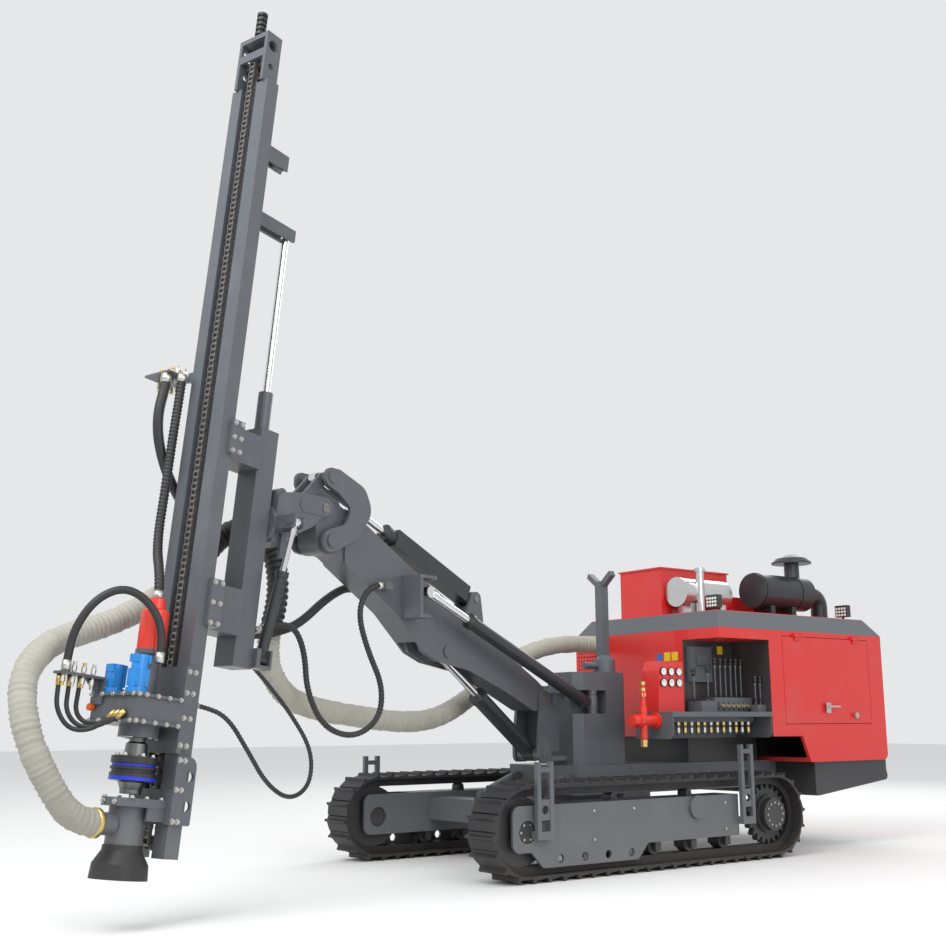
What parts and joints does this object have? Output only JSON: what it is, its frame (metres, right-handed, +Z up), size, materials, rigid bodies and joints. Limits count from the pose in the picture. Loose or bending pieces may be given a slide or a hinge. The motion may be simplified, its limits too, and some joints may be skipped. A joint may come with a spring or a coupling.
{
  "type": "down-the-hole crawler drilling rig",
  "caption": "Crawler down-the-hole drilling rig with a tall feed mast on a linked boom, oil column and a red machinery canopy.",
  "frame": {"origin": "On the ground, midway between the two tracks and midway between their end wheels.", "axes": "+X forward towards the mast, +Y to the operator's (left) side, +Z up."},
  "size_m": [8.0861, 2.5224, 5.8777],
  "materials": {
    "red_paint": "satin",
    "grey_paint": "satin",
    "dark_paint": "satin",
    "blue_paint": "satin",
    "black_rubber": "matte",
    "bright_steel": "polished",
    "bare_steel": "worn",
    "track_steel": "worn",
    "white_paint": "satin",
    "black_plastic": "matte"
  },
  "bodies": {
    "undercarriage": {"air_cleaner": "black_plastic", "air_valve": "red_paint", "canopy_roof": "grey_paint", "canopy_shell": "red_paint", "centre_frame": "grey_paint", "cooler_box": "red_paint", "dust_duct_rear": "white_paint", "engine_block": "dark_paint", "final_drives": "bare_steel", "fuel_tanks": "dark_paint", "gauge_box": "red_paint", "idlers": "bare_steel", "muffler": "bright_steel", "oil_column": "grey_paint", "rollers": "bare_steel", "side_frame_left": "grey_paint", "side_frame_right": "grey_paint", "track_left": "track_steel", "track_right": "track_steel", "valve_bank": "grey_paint", "valve_rack": "grey_paint", "work_lamps": "black_plastic"},
    "carriage": {"air_hose": "black_rubber", "carriage": "grey_paint", "gear_case": "grey_paint", "rotation_motors": "blue_paint", "short_hoses": "black_rubber", "swivel": "red_paint", "swivel_hose": "black_rubber"},
    "boom": {"boom": "grey_paint", "boom_loom": "black_rubber", "boom_pins": "bare_steel", "head_hose": "black_rubber"},
    "foot": {"boom_foot": "grey_paint", "foot_pins": "bare_steel"},
    "head": {"boom_head": "grey_paint"},
    "mast": {"carriage_hose": "black_rubber", "dust_bell": "black_rubber", "dust_duct_front": "white_paint", "feed_chain": "bare_steel", "mast_beam": "grey_paint", "mast_hose": "black_rubber", "mast_spout": "black_rubber", "rod_guide": "grey_paint", "slide_rod": "bare_steel"},
    "door_left": {"door_left": "red_paint"},
    "door_right": {"door_right": "red_paint"},
    "lift_barrel": {"lift_barrel": "grey_paint"},
    "lift_rod": {"lift_rod": "bare_steel"},
    "support": {"mast_support": "grey_paint"},
    "rocker": {"rocker": "grey_paint"},
    "slew_barrel": {"slew_barrel": "grey_paint"},
    "slew_knuckle": {"slew_knuckle": "grey_paint"},
    "slew_rod": {"slew_rod": "bare_steel"},
    "spindle": {"spindle": "bare_steel"},
    "swing_barrel": {"swing_barrel": "grey_paint"},
    "swing_rod": {"swing_rod": "bare_steel"},
    "tilt_barrel": {"tilt_barrel": "grey_paint"},
    "tilt_link": {"tilt_link": "grey_paint"},
    "tilt_rod": {"tilt_rod": "bare_steel"}
  },
  "joints": [
    {"name": "boom_swing", "type": "hinge", "parent": "undercarriage", "child": "foot", "pos_m": [0.24, 0, 0.84], "axis": [0, 0, 1], "range_deg": [-20, 30], "deforming": ["dust_duct_rear"]},
    {"name": "boom_lift", "type": "hinge", "parent": "foot", "child": "boom", "pos_m": [0.40341, 0.04686, 1.27], "axis": [0.2756, -0.9613, 0], "range_deg": [-28, 20], "deforming": ["dust_duct_rear", "boom_loom", "head_hose"]},
    {"name": "mast_tilt", "type": "hinge", "parent": "boom", "child": "head", "pos_m": [2.87866, 0.75662, 2.485], "axis": [-0.2756, 0.9613, 0], "range_deg": [-90, 24], "deforming": ["dust_duct_rear", "boom_loom", "head_hose"]},
    {"name": "mast_swing", "type": "hinge", "parent": "head", "child": "support", "pos_m": [3.31437, 0.88156, 2.33124], "axis": [0.9544, 0.2737, 0.1191], "range_deg": [-35, 30], "deforming": ["dust_duct_rear", "boom_loom", "head_hose", "dust_duct_front"]},
    {"name": "mast_slide", "type": "slide", "parent": "support", "child": "mast", "axis": [-0.1145, -0.0328, 0.9929], "range_m": [-0.9, 0], "deforming": ["dust_duct_front", "carriage_hose"]},
    {"name": "feed", "type": "slide", "parent": "mast", "child": "carriage", "axis": [-0.1145, -0.0328, 0.9929], "range_m": [0, 3], "deforming": ["swivel_hose"]},
    {"name": "spindle", "type": "hinge", "parent": "carriage", "child": "spindle", "pos_m": [4.21278, 1.13918, 0.71102], "axis": [-0.1145, -0.0328, 0.9929], "continuous": true},
    {"name": "door_left", "type": "hinge", "parent": "undercarriage", "child": "door_left", "pos_m": [-1.935, 0.903, 1.824], "axis": [1, 0, 0], "range_deg": [0, 80]},
    {"name": "door_right", "type": "hinge", "parent": "undercarriage", "child": "door_right", "pos_m": [-1.935, -0.903, 1.824], "axis": [-1, 0, 0], "range_deg": [0, 80]},
    {"name": "slew_knuckle", "type": "hinge", "parent": "undercarriage", "child": "slew_knuckle", "pos_m": [-0.1, 0.214, 1.25], "axis": [0, 0, 1], "range_deg": [-17.9, 26.6]},
    {"name": "slew_barrel", "type": "hinge", "parent": "slew_knuckle", "child": "slew_barrel", "pos_m": [0.00696, 0.23968, 1.25], "axis": [0.2334, -0.9724, 0], "range_deg": [-24.3, 17.5]},
    {"name": "slew_rod", "type": "slide", "parent": "slew_barrel", "child": "slew_rod", "axis": [0.9069, 0.2177, 0.3606], "range_m": [-0.146, 0.098]},
    {"name": "lift_barrel", "type": "hinge", "parent": "foot", "child": "lift_barrel", "pos_m": [0.43225, 0.05513, 0.84], "axis": [0.2756, -0.9613, 0], "range_deg": [-25.14, 18.1]},
    {"name": "lift_rod", "type": "slide", "parent": "lift_barrel", "child": "lift_rod", "axis": [0.8159, 0.234, 0.5287], "range_m": [-0.1921, 0.1378]},
    {"name": "tilt_barrel", "type": "hinge", "parent": "boom", "child": "tilt_barrel", "pos_m": [1.2301, 0.28391, 2.02], "axis": [-0.2756, 0.9613, 0], "range_deg": [-1.4, 0.74]},
    {"name": "tilt_rod", "type": "slide", "parent": "tilt_barrel", "child": "tilt_rod", "axis": [0.8918, 0.2557, 0.3732], "range_m": [-0.2923, 0.0794]},
    {"name": "rocker", "type": "hinge", "parent": "boom", "child": "rocker", "pos_m": [2.85944, 0.75111, 2.268], "axis": [-0.2756, 0.9613, 0], "range_deg": [-39.2, 10.82]},
    {"name": "tilt_link", "type": "hinge", "parent": "rocker", "child": "tilt_link", "pos_m": [2.85271, 0.74918, 2.699], "axis": [-0.2756, 0.9613, 0], "range_deg": [-25.25, 7.1]},
    {"name": "swing_barrel", "type": "hinge", "parent": "support", "child": "swing_barrel", "pos_m": [3.3526, 0.97575, 1.4726], "axis": [0.9544, 0.2737, 0.1191], "range_deg": [-2.27, 2.56]},
    {"name": "swing_rod", "type": "slide", "parent": "swing_barrel", "child": "swing_rod", "axis": [-0.1658, 0.1542, 0.974], "range_m": [-0.1246, 0.1451]}
  ],
  "couplings": [
    {"joint": "lift_barrel", "follows": "boom_lift", "ratio": 0.88},
    {"joint": "lift_rod", "follows": "boom_lift", "m_per_rad": 0.389},
    {"joint": "slew_knuckle", "follows": "boom_swing", "ratio": 0.87},
    {"joint": "slew_barrel", "follows": "boom_lift", "ratio": 0.85},
    {"joint": "slew_rod", "follows": "boom_swing", "m_per_rad": -0.275},
    {"joint": "tilt_barrel", "follows": "mast_tilt", "ratio": 0.01},
    {"joint": "tilt_rod", "follows": "mast_tilt", "m_per_rad": 0.1848},
    {"joint": "rocker", "follows": "mast_tilt", "ratio": 0.43},
    {"joint": "tilt_link", "follows": "mast_tilt", "ratio": 0.275},
    {"joint": "swing_barrel", "follows": "mast_swing", "ratio": -0.059},
    {"joint": "swing_rod", "follows": "mast_swing", "m_per_rad": -0.2342}
  ]
}
